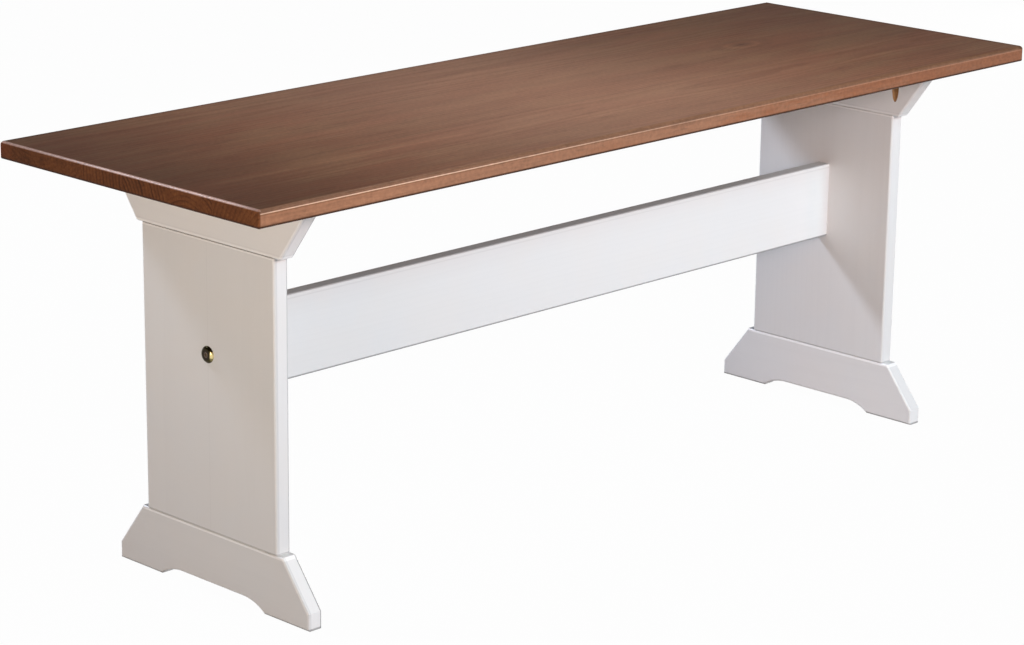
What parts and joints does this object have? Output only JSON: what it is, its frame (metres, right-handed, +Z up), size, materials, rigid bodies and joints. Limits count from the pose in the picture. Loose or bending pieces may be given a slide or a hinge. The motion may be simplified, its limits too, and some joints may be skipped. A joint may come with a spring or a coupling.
{
  "type": "bench",
  "caption": "Backless trestle bench: stained pine seat board on painted panel trestles with splayed bearers and relieved feet, tied by a bolted stretcher board.",
  "frame": {"origin": "on the floor, under the middle of the seat: the bottom centre of the bounding box", "axes": "+X along the bench to the right-hand trestle, +Y to the back, +Z up"},
  "size_m": [1.175, 0.39, 0.45],
  "materials": {
    "stained_pine": "brown stain under satin lacquer, grain showing",
    "painted_pine": "satin white paint with the grain just telegraphing through",
    "beech_dowel": "raw, fluted dowel stock",
    "antique_brass": "darkened antique brass plating, bright at the rim",
    "zinc_steel": "zinc plated"
  },
  "bodies": {
    "root": {"seat_stave_1": "stained_pine", "seat_stave_2": "stained_pine", "seat_stave_3": "stained_pine", "seat_stave_4": "stained_pine", "seat_stave_5": "stained_pine", "seat_stave_6": "stained_pine", "left_bearer": "painted_pine", "left_panel_stave_1": "painted_pine", "left_panel_stave_2": "painted_pine", "left_foot": "painted_pine", "right_bearer": "painted_pine", "right_panel_stave_1": "painted_pine", "right_panel_stave_2": "painted_pine", "right_foot": "painted_pine", "stretcher": "painted_pine", "left_bearer_dowels": "beech_dowel", "left_foot_dowels": "beech_dowel", "left_stretcher_dowels": "beech_dowel", "left_connector_bolt": "antique_brass", "left_barrel_nut": "zinc_steel", "left_seat_screws": "zinc_steel", "right_bearer_dowels": "beech_dowel", "right_foot_dowels": "beech_dowel", "right_stretcher_dowels": "beech_dowel", "right_connector_bolt": "antique_brass", "right_barrel_nut": "zinc_steel", "right_seat_screws": "zinc_steel"}
  },
  "joints": []
}
